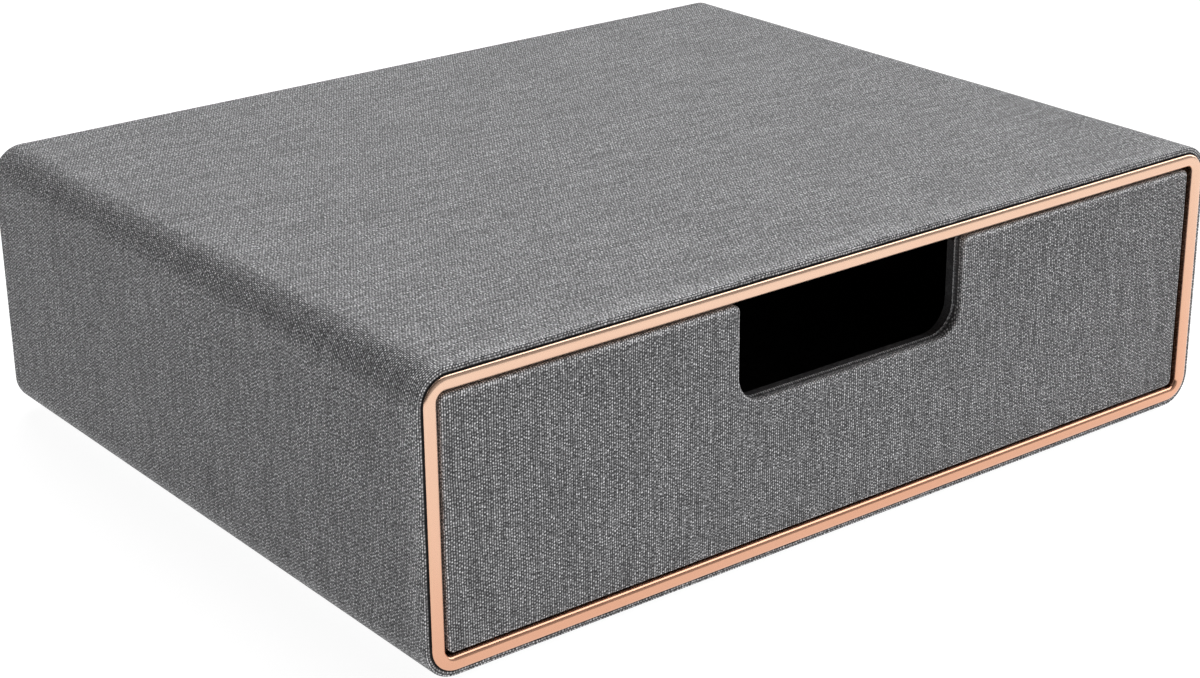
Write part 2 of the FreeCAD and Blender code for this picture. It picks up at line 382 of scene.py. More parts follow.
def cloud(tree, vector, scale, detail=2.0, roughness=0.5):
    """Noise texture: its value's socket."""
    made = node(tree, "TexNoise", {"Vector": vector, "Scale": scale, "Detail": detail,
                                   "Roughness": roughness})
    return made.outputs["Fac"]


def stretched(tree, vector, scale):
    """Mapping node that stretches a pattern."""
    return node(tree, "Mapping", {"Vector": vector, "Scale": scale}).outputs["Vector"]


def joined(tree, x, y, z=0.0):
    """Vector made of three values."""
    return node(tree, "CombineXYZ", {"X": x, "Y": y, "Z": z}).outputs["Vector"]


def new_material(name):
    """Material with one principled shader: its tree, the shader and object coordinates."""
    material = bpy.data.materials.new(name)
    material.use_nodes = True
    tree = material.node_tree
    shader = next(n for n in tree.nodes if n.type == "BSDF_PRINCIPLED")
    place = node(tree, "TexCoord").outputs["Object"]
    return material, tree, shader, place


def rough_surface(tree, shader, height, distance, strength=1.0):
    """Bump from a height between 0 and 1."""
    bump = node(tree, "Bump", {"Height": height, "Distance": distance, "Strength": strength})
    fill(tree, shader, {"Normal": bump.outputs["Normal"]})


# ---- Linen ----

# A pace is in noise steps per yarn, or per millimetre where the noise lies on the cloth itself.
SWAY, SWAY_PACE = 1.0, 0.11         # how many yarns the lines bend sideways
STRAY, STRAY_PACE = 2.0, 0.22       # how many thin yarns a row wavers by at each thick one
STRAY_STEP, SLUB_STEP = 5.37, 7.31  # noise steps to the next yarn, so that each has its own
SLUB_SPAN = (0.34, 0.66)
THICK_SLUB, THICK_PACE = (0.82, 1.18), 0.026
THIN_SLUB, THIN_PACE, THIN_SLICE = (0.95, 1.05), 0.2, 9.7
CROSSING = (0.60, 0.50)             # how much darker a thin yarn's crossing is than a thick one's
FLECK = 0.44                        # how much single crossings differ
THIN_SHARE = 0.4                    # share of the relief that the thin yarns shape
CROWN_SHADE_SPAN = (0.1, 0.85)            # painted shade, from the dark gap between yarns to their lit crown
FIBRES, FIBRE_PACE = (0.36, 1.64), 1.15
MELANGE, MELANGE_PACE = (0.80, 1.18), 0.75
PATCHES, PATCH_PACE = 0.05, 0.035
BRIGHTEST, TONE_CURVE = 1.5, 1.5    # the tone that is wholly light yarn, and its curve


def yarn_counts(tree, threads, settings):
    """Counts the thick yarns across the cloth and the thin ones along it, both a little bent."""
    bend = node(tree, "TexNoise", {"Vector": threads, "Scale": SWAY_PACE})
    bend = node(tree, "SeparateColor", {"Color": bend.outputs["Color"]})
    flat = node(tree, "SeparateXYZ", {"Vector": threads})
    counts = []
    for axis, sway, pitch in (("X", "Red", settings.coarse_pitch), ("Y", "Green", settings.fine_pitch)):
        wander = calc(tree, "MULTIPLY_ADD", bend.outputs[sway], SWAY, -SWAY / 2)
        counts.append(calc(tree, "ADD", calc(tree, "DIVIDE", flat.outputs[axis], pitch / MM), wander))
    return counts


def linen_cloth(tree, shader, _):
    """Plain-weave melange cloth: thick yarns at the coarse pitch, thin ones at the fine pitch."""
    settings = bpy.context.scene.file_box.finish
    threads = node(tree, "UVMap", uv_map="Cloth").outputs["UV"]
    across, along = yarn_counts(tree, threads, settings)
    thick, thin = calc(tree, "FLOOR", across), calc(tree, "FLOOR", along)
    # The thin yarns lie a little unevenly, so their rows waver from one thick yarn to the next.
    uneven = cloud(tree, joined(tree, times(tree, thick, STRAY_STEP), times(tree, along, STRAY_PACE)),
                   1.0, 0.0)
    beat = calc(tree, "ADD", along, calc(tree, "MULTIPLY_ADD", uneven, STRAY, -STRAY / 2))
    step = calc(tree, "FLOOR", beat)
    over = calc(tree, "MODULO", calc(tree, "ABSOLUTE", calc(tree, "ADD", thick, step)), 2.0)
    crown = [calc(tree, "SINE", times(tree, calc(tree, "FRACT", lane), math.pi))
             for lane in (across, beat)]
    # Each yarn's tone drifts along it in long slubs, and each crossing differs a little.
    slub_thick = cloud(tree, joined(tree, times(tree, thick, SLUB_STEP), times(tree, along, THICK_PACE)),
                       1.0, 1.0)
    slub_thin = cloud(tree, joined(tree, times(tree, across, THIN_PACE), times(tree, thin, SLUB_STEP),
                                   THIN_SLICE), 1.0, 1.0)
    fleck = node(tree, "TexWhiteNoise", {"Vector": joined(tree, thick, step)},
                 noise_dimensions="2D").outputs["Value"]
    tone = times(tree, spread(tree, slub_thick, *THICK_SLUB, SLUB_SPAN),
                 spread(tree, slub_thin, *THIN_SLUB, SLUB_SPAN))
    crossing = spread(tree, slub_thin, *CROSSING, SLUB_SPAN)
    tone = times(tree, tone, calc(tree, "SUBTRACT", 1.0, times(tree, over, crossing)))
    tone = calc(tree, "MULTIPLY_ADD", calc(tree, "SUBTRACT", fleck, 0.5), FLECK, tone)
    relief = calc(tree, "MULTIPLY_ADD", crown[1], THIN_SHARE, 1 - THIN_SHARE)
    height = times(tree, crown[0], relief)
    # Painted shade: the tone darkens in the gaps between yarns and is lightest on their crowns.
    tone = times(tree, tone, spread(tree, height, 0.0, 1.0, CROWN_SHADE_SPAN))
    # Single fibres, the mix of dyed flax and slow patches lie over the weave.
    fibres = cloud(tree, threads, FIBRE_PACE)
    tone = times(tree, tone, spread(tree, fibres, *FIBRES))
    melange = cloud(tree, threads, MELANGE_PACE, 1.0)
    tone = times(tree, tone, spread(tree, melange, *MELANGE))
    patches = cloud(tree, threads, PATCH_PACE, 3.0)
    tone = calc(tree, "MULTIPLY_ADD", calc(tree, "SUBTRACT", patches, 0.5), PATCHES, tone)
    # Painted light: the cloth is painted pale as highlights on its edges, and darker as shade in the groove
    # and crease.
    painted_light_and_shade = node(tree, "Attribute", attribute_name="PaintedLightAndShade").outputs["Fac"]
    tone = times(tree, tone, calc(tree, "ADD", painted_light_and_shade, 1.0))
    tone = calc(tree, "POWER", remap(tree, tone, 0.0, BRIGHTEST, 0.0, 1.0), TONE_CURVE)
    yarn = blend(tree, tone, settings.yarn_dark, settings.yarn_light)
    fill(tree, shader, {"Base Color": yarn, "Roughness": remap(tree, height, 0.0, 1.0, 0.95, 0.8),
                        "Sheen Weight": 0.12, "Sheen Roughness": 0.5, "Specular IOR Level": 0.25})
    rough_surface(tree, shader, height, 0.15 * MM, 0.8)


# ---- Other finishes: a maker takes the tree, its shader and object coordinates ----

def rose_gold_metal(tree, shader, place):
    """Satin rose gold with fine drawn lines and slow shifts of tone, painted redder and darker towards the
    foot as shade.
    """
    settings = bpy.context.scene.file_box.finish
    drift = cloud(tree, place, 6.0)
    height = node(tree, "SeparateXYZ", {"Vector": place}).outputs["Z"]
    # Painted shade: the redder, darker deep tone is full at the foot and gone 0.1 m up, give or take the
    # drift.
    painted_foot_shade = calc(tree, "MULTIPLY_ADD", height, -10.0, 1.0)
    depth = calc(tree, "ADD", painted_foot_shade, calc(tree, "MULTIPLY_ADD", drift, 0.6, -0.3))
    depth = node(tree, "Clamp", {"Value": depth}).outputs["Result"]
    base = blend(tree, depth, settings.metal, settings.metal_deep_grain_and_shade)
    drawn_lines = (40.0, 3000.0, 40.0)
    grain = cloud(tree, stretched(tree, place, drawn_lines), 1.0)
    specks = cloud(tree, place, 2500.0, 1.0)
    fill(tree, shader, {"Base Color": two_tone(tree, grain, base, settings.metal_deep_grain_and_shade, 0.12),
                        "Roughness": spread(tree, specks, 0.19, 0.26), "Metallic": 1.0})
    rough_surface(tree, shader, grain, 0.004 * MM, 0.4)


def black_lining(tree, shader, place):
    """Dead black felted paper with short fibres."""
    settings = bpy.context.scene.file_box.finish
    lying_fibres = (900.0, 2600.0, 2600.0)
    fibres = cloud(tree, stretched(tree, place, lying_fibres), 1.0, 3.0, 0.6)
    nap = cloud(tree, place, 90.0)
    tone = times(tree, spread(tree, fibres, 0.5, 2.2, (0.3, 0.75)), spread(tree, nap, 0.8, 1.2))
    shade = node(tree, "VectorMath", {0: settings.lining, "Scale": tone}, operation="SCALE")
    fill(tree, shader, {"Base Color": shade.outputs["Vector"], "Specular IOR Level": 0.08,
                        "Roughness": spread(tree, fibres, 0.97, 0.85)})
    rough_surface(tree, shader, fibres, 0.05 * MM, 0.6)


def fibreboard(tree, shader, place):
    """Raw fibreboard, a felt of pale and dark chips that lie flat."""
    dark, pale, flat_chips = (0.30, 0.19, 0.10), (0.52, 0.37, 0.23), (700.0, 700.0, 1500.0)
    chips = cloud(tree, stretched(tree, place, flat_chips), 1.0, 4.0, 0.7)
    fill(tree, shader, {"Base Color": two_tone(tree, chips, dark, pale), "Roughness": 0.9})
    rough_surface(tree, shader, chips, 0.06 * MM, 0.5)


def softwood(tree, shader, place):
    """Planed softwood with its rings and pores along the strip."""
    early, late, pore = (0.62, 0.44, 0.25), (0.40, 0.24, 0.11), (0.25, 0.14, 0.06)
    rings_along, pores_along = (1.0, 0.06, 1.0), (2500.0, 120.0, 2500.0)
    rings = node(tree, "TexWave", {"Vector": stretched(tree, place, rings_along), "Scale": 180.0,
                                   "Distortion": 3.0, "Detail Scale": 1.5},
                 wave_type="BANDS", bands_direction="DIAGONAL")
    pores = cloud(tree, stretched(tree, place, pores_along), 1.0)
    wood = blend(tree, rings.outputs["Fac"], early, late)
    fill(tree, shader, {"Base Color": two_tone(tree, pores, wood, pore, 0.4, (0.4, 0.7)),
                        "Roughness": spread(tree, pores, 0.6, 0.85)})
    rough_surface(tree, shader, pores, 0.04 * MM, 0.5)


def grey_card(tree, shader, place):
    """Grey card of recycled pulp with a few dark flecks."""
    dark, pale, ink = (0.20, 0.19, 0.18), (0.34, 0.33, 0.31), (0.12, 0.11, 0.10)
    pulp = cloud(tree, place, 1200.0, 4.0, 0.65)
    flecks = cloud(tree, place, 260.0, 1.0)
    card = two_tone(tree, pulp, dark, pale)
    fill(tree, shader, {"Base Color": two_tone(tree, flecks, card, ink, 0.6, (0.62, 0.7)),
                        "Roughness": 0.92})
    rough_surface(tree, shader, pulp, 0.03 * MM, 0.5)


def plated_steel(tree, shader, place):
    """Zinc-plated steel with a faint crystal bloom."""
    warm, cool = (0.62, 0.62, 0.60), (0.46, 0.47, 0.49)
    bloom = cloud(tree, place, 420.0, 3.0)
    fill(tree, shader, {"Base Color": two_tone(tree, bloom, warm, cool),
                        "Roughness": spread(tree, bloom, 0.25, 0.45), "Metallic": 1.0})
    rough_surface(tree, shader, bloom, 0.01 * MM, 0.3)


def pad_rubber(tree, shader, place):
    """Black rubber with a little dust."""
    black, dusty = (0.018, 0.018, 0.018), (0.07, 0.068, 0.065)
    dust = cloud(tree, place, 800.0, 3.0)
    fill(tree, shader, {"Base Color": two_tone(tree, dust, black, dusty, 1.0, (0.4, 0.8)),
                        "Roughness": spread(tree, dust, 0.6, 0.85)})
    rough_surface(tree, shader, dust, 0.03 * MM, 0.5)


def table_top(glow):
    """White table that glows a little, as a lit one does."""
    material, tree, shader, place = new_material("white_table")
    dark, pale = (0.22, 0.22, 0.22), (0.26, 0.26, 0.26)
    mottle = cloud(tree, place, 3.0)
    fill(tree, shader, {"Base Color": two_tone(tree, mottle, dark, pale),
                        "Roughness": 0.9, "Specular IOR Level": 0.0,
                        "Emission Color": WHITE, "Emission Strength": glow})
    material.cycles.emission_sampling = "NONE"
    return material


MAKERS = {maker.__name__: maker for maker in (linen_cloth, rose_gold_metal, black_lining, fibreboard,
                                              softwood, grey_card, plated_steel, pad_rubber)}


def material_for(slot):
    """The finish of a record slot, made once by the maker of the slot's name."""
    name = slot + "_finish"
    if name not in bpy.data.materials:
        MAKERS[slot](*new_material(name)[1:])
    return bpy.data.materials[name]


# ---- Casing cloth ----

def casing_inset(place, radius):
    """How far a point lies inside the casing's outline."""
    dx = abs(place.x) - (half_width - radius)
    dz = abs(place.z - middle) - (half_height - radius)
    if dx > 0 and dz > 0:
        return radius - math.hypot(dx, dz)
    return radius - max(dx, dz)


def round_the_casing(place, radius):
    """Distance round the casing's outline, from the middle of its underside."""
    flat_x, flat_z = half_width - radius, half_height - radius
    dx, dz = abs(place.x) - flat_x, abs(place.z - middle) - flat_z
    quarter = radius * math.pi / 2
    if dx > 0 and dz > 0:
        along = flat_x + radius * math.atan2(dx, dz)
    elif dz > dx:
        along = abs(place.x)
    else:
        along = flat_x + quarter + flat_z - abs(place.z - middle)
    girth = 4 * flat_x + 4 * flat_z + 4 * quarter
    if place.z > middle:
        along = girth / 2 - along
    return along if place.x >= 0 else girth - along


# The cloth's waves: noise steps per metre, and slices of the noise that set the two long edges apart.
WAVE_PACE = (14, 17, 14)
EDGE_PACE, EDGE_SLICE, LEFT_SLICE, RIGHT_SLICE = 26, 3.1, 8.4, 1.7
EDGE_REACH = 3             # edge radii over which an upper edge's ripple fades


def fading(distance, reach):
    """Falls from 1 to 0 over a distance."""
    return max(0.0, 1 - distance / reach)


def cloth_lift(place, settings):
    """How far the cloth lifts off the boards at a place: slow waves, stronger along the upper edges."""
    radius = settings.edge_radius
    slow = noise.noise(Vector([along * pace for along, pace in zip(place, WAVE_PACE)]))
    side = LEFT_SLICE if place.x < 0 else RIGHT_SLICE
    edge = noise.noise(Vector((EDGE_SLICE, place.y * EDGE_PACE, side)))
    near_edge = (fading(half_width - abs(place.x), EDGE_REACH * radius)
                 * fading(wrap_high.z - place.z, EDGE_REACH * radius))
    outer_face = fading(abs(casing_inset(place, radius)), radius)
    lower_half = max(0.0, min(1.0, (place.z - wrap_low.z) / half_height))
    lift = settings.ripple * (0.5 + 0.5 * slow) + settings.edge_ripple * (0.5 + 0.5 * edge) * near_edge
    return lift * lower_half * outer_face


def lifted(place, settings):
    """Where a point of the outer face comes to lie once the cloth has lifted."""
    radius = settings.edge_radius
    away = Vector((max(abs(place.x) - half_width + radius, 0.0), 0.0,
                   max(abs(place.z - middle) - half_height + radius, 0.0)))
    if not away.length:
        return place
    away.normalize()
    away.x = math.copysign(away.x, place.x)
    away.z = math.copysign(away.z, place.z - middle)
    return place + away * cloth_lift(place, settings)


LONG_STEPS = 30            # rings from the casing's front to its rear
CORNER_STEPS, WIDTH_CUTS, HEIGHT_CUTS = 16, 44, 10  # how each ring is divided
FOLD_GAP = 0.2 * MM        # between the folded cloth and the card that levels it
GROOVE_START = 0.1 * MM    # how far under the frame the cloth slopes down into the groove
GROOVE_FLAT, GROOVE_BEND = 0.4, 0.6   # shares of its width where its floor ends and its side bends


def casing_section(settings, undercut):
    """Closed section of the cloth: turn-in, front lip, outer face and rear fold, as (inset, y)."""
    front, rear = wrap_low.y, wrap_high.y
    turn_end = trim_high.y
    fold_outer, fold_inner = board_inner, board_inner + cloth
    bend = settings.cloth_round
    width, floor = settings.groove_width, front + settings.groove_depth
    under_frame = trim_margin + undercut
    long = [(0.0, front + bend + (rear - front - 2 * bend) * step / LONG_STEPS)
            for step in range(1, LONG_STEPS)]
    back_fold = rear_fold - FOLD_GAP
    return [
        (fold_outer, ring_front), (fold_outer, turn_end), (fold_inner, turn_end),
        *turn((fold_inner, front + bend), (fold_inner, front), (fold_inner - bend, front), 4),
        (under_frame + GROOVE_START, front), (under_frame, floor),
        *turn((trim_margin - GROOVE_FLAT * width, floor), (trim_margin - GROOVE_BEND * width, floor),
              (trim_margin - width, front), 3),
        *turn((bend, front), (0.0, front), (0.0, front + bend), 5),
        *long,
        *turn((0.0, rear - bend), (0.0, rear), (bend, rear), 5),
        (back_fold, rear), (back_fold, back_board_back), (cloth, back_board_back),
        *[(cloth, y) for _, y in reversed(long)],
        (cloth, ring_front),
    ]


def casing_map(place, radius):
    """Cloth coordinates: thick yarns are spaced along the depth, thin ones round the casing."""
    inset = casing_inset(place, radius)
    along = place.y - inset if place.y < 0 else place.y + inset
    return along, round_the_casing(place, radius)


class FILEBOX_OT_casing_cloth(bpy.types.Operator):
    """Wraps the casing in one piece of linen that turns into the mouth and over the back"""
    bl_idname = "filebox.casing_cloth"
    bl_label = "Casing Cloth"

    def execute(self, context):
        scene = context.scene.file_box
        settings = scene.casing
        radius = settings.edge_radius
        bm = bmesh.new()
        rings = [ring(bm, casing_corners(inset, max(radius - inset, TIGHTEST)), y,
                      CORNER_STEPS, WIDTH_CUTS, HEIGHT_CUTS)
                 for inset, y in casing_section(settings, scene.trim.undercut)]
        loft(bm, rings, closed=True)
        outwards(bm)
        for vert in bm.verts:
            if self.is_outer(vert, radius):
                vert.co = lifted(vert.co, settings)
        bm.normal_update()
        # Painted highlight along the front lip and painted shade in the groove.
        paint_light_and_shade(bm, lambda place: self.painted_light_and_shade(place, settings))
        girth = 2 * round_the_casing(Vector((0.0, 0.0, wrap_high.z)), radius)
        lay_map(bm, lambda place, normal: casing_map(place, radius), girth)
        finish_piece("casing_linen", bm, "casing", "linen_cloth", ["casing_wrap"])
        return {"FINISHED"}

    @staticmethod
    def is_outer(vert, radius):
        """Whether a vertex lies on the outer face, and not on a turned edge that faces along Y."""
        facing_out = math.hypot(vert.normal.x, vert.normal.z) > 0.1
        return facing_out and casing_inset(vert.co, radius) < 1.5 * cloth

    @staticmethod
    def painted_light_and_shade(place, settings):
        """Painted highlight along the front lip, painted shade in the groove beside the frame."""
        inset = casing_inset(place, settings.edge_radius)
        behind = place.y - wrap_low.y
        if behind > 2 * settings.cloth_round:
            return 0.0
        if inset < settings.cloth_round + NEAR:
            return settings.lip_painted_highlight
        sunk = behind > 0.3 * settings.groove_depth
        beside_frame = inset > trim_margin - settings.groove_width + NEAR
        return -settings.seam_shade if sunk and beside_frame else 0.0


class FILEBOX_OT_back_panel(bpy.types.Operator):
    """Covers the back with a linen panel inside the folded margin"""
    bl_idname = "filebox.back_panel"
    bl_label = "Back Panel"

    def execute(self, context):
        settings = context.scene.file_box.casing
        bend = settings.back_round
        front, back = cover_low.y, cover_high.y
        section = [(rear_margin, front), *turn((rear_margin, back - bend), (rear_margin, back),
                                               (rear_margin + bend, back), 5)]
        bm = bmesh.new()
        rings = [ring(bm, casing_corners(inset, settings.edge_radius - inset), y, 12,
                      filled=at in (0, len(section) - 1))
                 for at, (inset, y) in enumerate(section)]
        loft(bm, rings)
        outwards(bm)
        lay_map(bm, lambda place, normal: (place.x, place.z))
        finish_piece("casing_back_linen", bm, "casing", "linen_cloth", ["casing_back_cover"])
        return {"FINISHED"}


# ---- Metal frame ----

def trim_section(settings):
    """Closed section of the frame: flange, rounded mouth, face, rounded outside, as (inset, y)."""
    face, seat, end = trim_low.y, wrap_low.y, trim_high.y
    outer, inner = trim_margin, mouth_inset
    flange = mouth_inset - settings.flange
    burr = settings.burr
    return [
        *turn((inner - burr, end), (inner, end), (inner, end - burr), 2),
        *turn((inner, face + settings.inner_drop), (inner, face), (inner - settings.inner_run, face), 9),
        *turn((outer + settings.outer_run, face), (outer, face), (outer, face + settings.outer_drop), 9),
        (outer, seat - settings.undercut / 2), (outer + settings.undercut, seat - settings.undercut / 2),
        (outer + settings.undercut, seat), (flange, seat),
        *turn((flange, end - burr), (flange, end), (flange + burr, end), 2),
    ]


class FILEBOX_OT_trim_frame(bpy.types.Operator):
    """Makes the rose gold frame round the mouth"""
    bl_idname = "filebox.trim_frame"
    bl_label = "Trim Frame"

    def execute(self, context):
        scene = context.scene.file_box
        settings = scene.trim
        outer_radius = scene.casing.edge_radius - trim_margin
        steepness = (outer_radius - settings.mouth_radius) / (mouth_inset - trim_margin)
        bm = bmesh.new()
        rings = [ring(bm, casing_corners(inset, outer_radius - steepness * (inset - trim_margin)), y, 14)
                 for inset, y in trim_section(settings)]
        loft(bm, rings, closed=True)
        outwards(bm)
        finish_piece("front_trim", bm, "casing", "rose_gold_metal", ["front_trim_frame"])
        return {"FINISHED"}


# ---- Drawer ----

def notched_corners(settings, low, high, inset, reach, notch_grow, corner):
    """Outline with the pull notch cut into its top, moved inwards: x, z and radius of each corner."""
    x = reach - inset
    floor, top = low + inset, high - inset
    notch = settings.notch_width / 2 + notch_grow + inset
    notch_floor = front_high.z - settings.notch_depth - notch_grow - inset
    convex = max(corner - inset, TIGHTEST)
    concave = settings.notch_radius + notch_grow + inset
    return [(-x, floor, convex), (x, floor, convex), (x, top, convex), (notch, top, convex),
            (notch, notch_floor, concave), (-notch, notch_floor, concave), (-notch, top, convex),
            (-x, top, convex)]


# The crease before the front's rear edge: places from face to rear, and the share of its depth there.
CREASE = ((0.10, 0.04), (0.30, 0.14), (0.50, 0.32), (0.65, 0.62), (0.75, 0.95), (0.85, 1.0), (0.90, 0.3),
          (0.95, 0.04))


def front_section(settings):
    """Section of the front's cloth from its rear fold to its face, as (inset, y)."""
    face, rear = front_low.y, front_high.y
    soft, back = settings.front_round, settings.rear_round
    thick = rear - back - face - soft
    crease = [(settings.edge_dip * dip, face + soft + thick * place) for place, dip in CREASE]
    return [
        (front_fold, rear),
        *turn((back, rear), (0.0, rear), (0.0, rear - back), 5),
        *reversed(crease),
        *turn((0.0, face + soft), (0.0, face), (soft, face), 7),
    ]


class FILEBOX_OT_drawer_front(bpy.types.Operator):
    """Wraps the drawer's notched front in linen"""
    bl_idname = "filebox.drawer_front"
    bl_label = "Drawer Front"

    def execute(self, context):
        settings = context.scene.file_box.drawer
        section = front_section(settings)
        bm = bmesh.new()
        rings = [ring(bm, notched_corners(settings, front_low.z, front_high.z, inset, front_high.x, 0.0,
                                          settings.front_corner),
                      y, 10, filled=at == len(section) - 1)
                 for at, (inset, y) in enumerate(section)]
        loft(bm, rings)
        panel = max(bm.faces, key=lambda face: face.calc_area())
        bmesh.ops.inset_individual(bm, faces=[panel], thickness=settings.top_bead)
        outwards(bm)
        # Painted light per vertex: highlights on the front's edges and top bead, shade in the crease.
        bands = {round(y, 6): painted for (_, y), painted in zip(section, self.painted_light_and_shade(settings, section))}
        bead_end = front_high.z - settings.front_round - settings.top_bead / 2

        def painted_at(place):
            if place.y < front_low.y + NEAR:
                return settings.bead_painted_highlight if place.z > bead_end else 0.0
            return bands.get(round(place.y, 6), 0.0)

        def cloth_place(place, normal):
            depth = place.y - front_low.y
            return place.x + normal.x * depth, place.z + normal.z * depth

        paint_light_and_shade(bm, painted_at)
        lay_map(bm, cloth_place)
        finish_piece("drawer_front_linen", bm, "drawer", "linen_cloth", ["drawer_front_cover"],
                     thickness(cloth))
        return {"FINISHED"}

    @staticmethod
    def painted_light_and_shade(settings, section):
        """Painted highlights on the front's two edges, painted shade in the crease between them."""
        face, rear = front_low.y, front_high.y
        for inset, y in section:
            between_edges = face + settings.front_round < y < rear - settings.rear_round
            if between_edges and inset > 0.5 * settings.edge_dip:
                yield -settings.crease_shade
            elif face + NEAR < y < face + settings.front_round + NEAR or y > rear - 2 * settings.rear_round:
                yield settings.edge_painted_highlight
            else:
                yield 0.0


FELT_ROUND = 0.2 * MM      # soft edge of the felt linings


class FILEBOX_OT_drawer_tray(bpy.types.Operator):
    """Makes the tray's black skin, its wall lining and its floor lining"""
    bl_idname = "filebox.drawer_tray"
    bl_label = "Drawer Tray"

    def execute(self, context):
        settings = context.scene.file_box.drawer
        wall = skin + tray_board
        shell = self.walls(settings, 0.0, tray_low.z, tray_high.z, settings.tray_notch_margin, True)
        finish_piece("drawer_box_skin", shell, "drawer", "black_lining", ["drawer_box_cover"],
                     thickness(wall), soft_edges(settings.rim_round, 3))
        lining = self.walls(settings, wall, floor_lining_high.z, tray_high.z - settings.lining_drop,
                            settings.tray_notch_margin + skin, False)
        finish_piece("drawer_wall_felt", lining, "drawer", "black_lining", ["drawer_wall_lining"],
                     thickness(skin), soft_edges(FELT_ROUND, 2))
        felt = bmesh.new()
        centre = (floor_lining_low + floor_lining_high) / 2
        size = floor_lining_high - floor_lining_low
        place = Matrix.Translation(centre) @ Matrix.Diagonal((*size, 1.0))
        bmesh.ops.create_cube(felt, size=1.0, matrix=place)
        bmesh.ops.bevel(felt, geom=felt.edges, offset=FELT_ROUND, segments=2, profile=0.5,
                        affect="EDGES", material=-1)
        outwards(felt)
        finish_piece("drawer_floor_felt", felt, "drawer", "black_lining", ["drawer_floor_lining"])
        return {"FINISHED"}

    @staticmethod
    def walls(settings, inset, low, top, notch_grow, floored):
        """Open box of single faces; the front one has the pull notch in its top."""
        bm = bmesh.new()
        front, back = tray_low.y + inset, tray_high.y - inset
        reach = tray_high.x - inset
        corners = notched_corners(settings, low, top, 0.0, reach, notch_grow, 0.0)
        ring(bm, corners, front, 8, filled=True)
        ends = [e for e in bm.edges if all(abs(abs(v.co.x) - reach) < MERGED for v in e.verts)]
        under = [e for e in bm.edges if all(abs(v.co.z - low) < MERGED for v in e.verts)]
        drawn = bmesh.ops.extrude_edge_only(bm, edges=ends + under if floored else ends)
        moved = [item for item in drawn["geom"] if isinstance(item, bmesh.types.BMVert)]
        bmesh.ops.translate(bm, verts=moved, vec=(0.0, back - front, 0.0))
        bmesh.ops.contextual_create(bm, geom=moved)
        outwards(bm)
        return bm


# ---- Pads ----

PAD_SOFT, PAD_HOLLOW = 0.5 * MM, 0.25 * MM   # rounding of its lower edge, and its dished underside
PAD_DISH = (0.72, 0.66, 0.62)                # shares of the radius where the dish begins, bends and ends


class FILEBOX_OT_pads(bpy.types.Operator):
    """Makes the four round rubber pads under the casing"""
    bl_idname = "filebox.pads"
    bl_label = "Pads"

    def execute(self, context):
        for name in ("front_left_foot", "front_right_foot", "rear_left_foot", "rear_right_foot"):
            low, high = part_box(name)
            centre, radius = (low + high) / 2, (high.x - low.x) / 2
            bm = bmesh.new()
            verts = [bm.verts.new((centre.x + out, centre.y, low.z + up))
                     for out, up in self.profile(radius, high.z - low.z)]
            edges = [bm.edges.new(pair) for pair in zip(verts, verts[1:])]
            bmesh.ops.spin(bm, geom=verts + edges, cent=(centre.x, centre.y, 0.0), axis=(0.0, 0.0, 1.0),
                           angle=2 * math.pi, steps=48, use_merge=True)
            outwards(bm)
            finish_piece(name.replace("foot", "pad"), bm, "casing", "pad_rubber", [name])
        return {"FINISHED"}

    @staticmethod
    def profile(radius, height):
        """Half section of a pad from the middle of its top to the middle of its underside."""
        begin, bend, end = (radius * share for share in PAD_DISH)
        return [
            (0.0, height), (radius, height),
            *turn((radius, PAD_SOFT), (radius, 0.0), (radius - PAD_SOFT, 0.0), 4),
            *turn((begin, 0.0), (bend, 0.0), (end, PAD_HOLLOW), 3),
            (0.0, PAD_HOLLOW),
        ]


# ---- Carried-over nodes ----

class FILEBOX_OT_inner_parts(bpy.types.Operator):
    """Gives the boards, posts, cards, linings, brads and screws their finishes"""
    bl_idname = "filebox.inner_parts"
    bl_label = "Inner Parts"

    def execute(self, context):
        slots = {row["node"]: row["material_slot"] for row in frame["record"]["subparts"]}
        for name, part in frame["nodes"].items():
            material = material_for(slots[name])
            if not part.material_slots:
                part.data.materials.append(material)
            for slot in part.material_slots:
                slot.material = material
        return {"FINISHED"}


# ---- Stage ----

TABLE_RADIUS = 12.0
KEY_FROM, KEY_WIDTH = (0.72, 0.28, 0.70), 90    # towards the light, and how wide it looks in degrees
FILL_FROM, FILL_WIDTH = (0.10, -0.75, 0.65), 50
LAMP_DISTANCE = 2.0                             # only where the lamp's symbol stands
WALL_TOWARDS = (0.6, -0.8, 0.0)
WALL_SIDES = (0.1, 0.6)                         # how far a direction leans to the wall as it fades in
WALL_TOP = (0.35, 0.6)                          # how steep a direction is as the wall fades out


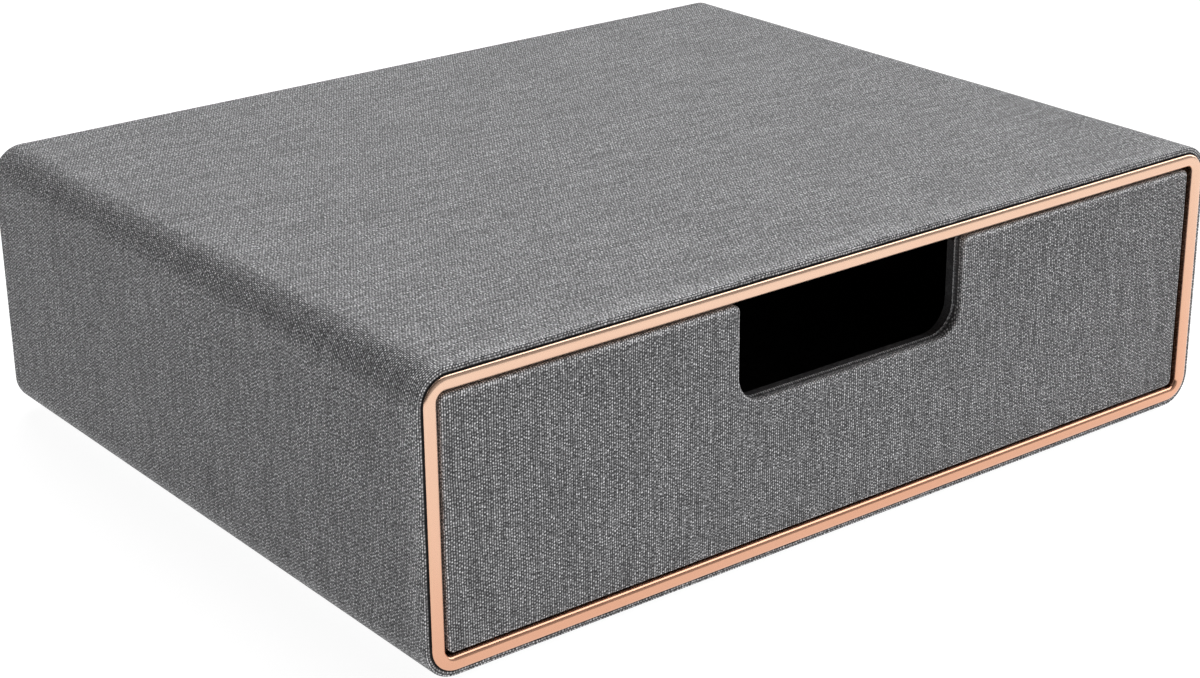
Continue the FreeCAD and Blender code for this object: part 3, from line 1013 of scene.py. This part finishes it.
class FILEBOX_OT_stage(bpy.types.Operator):
    """Sets up the white table, the soft lights, the room and the camera"""
    bl_idname = "filebox.stage"
    bl_label = "Stage"

    def execute(self, context):
        settings = context.scene.file_box.stage
        self.table(settings)
        self.sun("key_light", KEY_FROM, settings.key, KEY_WIDTH)
        self.sun("fill_light", FILL_FROM, settings.fill, FILL_WIDTH)
        self.room(settings)
        self.camera(settings)
        context.scene.view_settings.view_transform = "Standard"
        return {"FINISHED"}

    @staticmethod
    def table(settings):
        """Round white table that reaches out of every view."""
        bm = bmesh.new()
        bmesh.ops.create_circle(bm, cap_ends=True, radius=TABLE_RADIUS, segments=96)
        floor = object_of("white_table", bm, table_top(settings.table_glow))

    @staticmethod
    def sun(name, direction, strength, width):
        """Large soft light that comes from a direction."""
        light = bpy.data.lights.new(name, "SUN")
        light.energy = strength
        light.angle = math.radians(width)
        lamp = new_object(name, light)
        lamp.location = Vector(direction).normalized() * LAMP_DISTANCE
        lamp.rotation_euler = Vector(direction).to_track_quat("Z", "Y").to_euler()

    @staticmethod
    def room(settings):
        """Dim room with a pale wall at the front right, seen as plain white."""
        world = bpy.data.worlds.new("studio_room")
        world.use_nodes = True
        tree = world.node_tree
        shader = next(n for n in tree.nodes if n.type == "BACKGROUND")
        output = next(n for n in tree.nodes if n.type == "OUTPUT_WORLD")
        way = node(tree, "TexCoord").outputs["Generated"]
        height = node(tree, "SeparateXYZ", {"Vector": way}).outputs["Z"]
        facing = node(tree, "VectorMath", {0: way, 1: WALL_TOWARDS},
                      operation="DOT_PRODUCT").outputs["Value"]
        wall = times(tree, remap(tree, height, *WALL_TOP, 1.0, 0.0),
                     remap(tree, facing, *WALL_SIDES, 0.0, 1.0))
        glow = calc(tree, "MULTIPLY_ADD", wall, settings.wall, settings.room)
        fill(tree, shader, {"Color": WHITE, "Strength": glow})
        backdrop = node(tree, "Background", {"Color": WHITE})
        seen = node(tree, "LightPath").outputs["Is Camera Ray"]
        mixed = node(tree, "MixShader", {0: seen, 1: shader.outputs[0], 2: backdrop.outputs[0]})
        tree.links.new(mixed.outputs[0], output.inputs["Surface"])
        bpy.context.scene.world = world

    @staticmethod
    def camera(settings):
        """Camera on a sphere round the middle of the casing, then slid in its own plane."""
        lens = bpy.data.cameras.new("camera")
        lens.lens = settings.lens
        lens.clip_start = 0.01
        lens.clip_end = 100.0
        camera = new_object("camera", lens)
        aim = (Matrix.Rotation(settings.azimuth, 4, "Z")
               @ Matrix.Rotation(math.pi / 2 - settings.elevation, 4, "X")
               @ Matrix.Rotation(settings.roll, 4, "Z"))
        centre = Vector((0.0, (wrap_low.y + cover_high.y) / 2, middle))
        offset = aim @ Vector((settings.slide, settings.rise, settings.distance))
        camera.matrix_world = Matrix.Translation(centre + offset) @ aim
        bpy.context.scene.camera = camera


OPERATORS = (
    FILEBOX_OT_inner_parts,
    FILEBOX_OT_casing_cloth,
    FILEBOX_OT_back_panel,
    FILEBOX_OT_trim_frame,
    FILEBOX_OT_drawer_front,
    FILEBOX_OT_drawer_tray,
    FILEBOX_OT_pads,
    FILEBOX_OT_stage,
)


class FILEBOX_PT_panel(bpy.types.Panel):
    """Lists the pieces of the file box and their settings"""
    bl_idname = "FILEBOX_PT_panel"
    bl_label = "File Box"
    bl_space_type = "VIEW_3D"
    bl_region_type = "UI"
    bl_category = "File Box"

    def draw(self, context):
        column = self.layout.column()
        for operator in OPERATORS:
            column.operator(operator.bl_idname)
        settings = context.scene.file_box
        for group in (settings.casing, settings.trim, settings.drawer, settings.finish, settings.stage):
            box = self.layout.box()
            for name in group.__annotations__:
                box.prop(group, name)


CLASSES = (CasingSettings, TrimSettings, DrawerSettings, FinishSettings, StageSettings, FileBoxSettings,
           *OPERATORS, FILEBOX_PT_panel)


def register():
    for cls in CLASSES:
        bpy.utils.register_class(cls)
    bpy.types.Scene.file_box = PointerProperty(type=FileBoxSettings)


def unregister():
    del bpy.types.Scene.file_box
    for cls in reversed(CLASSES):
        bpy.utils.unregister_class(cls)


def main():
    register()
    for operator in OPERATORS:
        getattr(bpy.ops.filebox, operator.bl_idname.split(".")[1])()


if __name__ == "__main__":
    main()
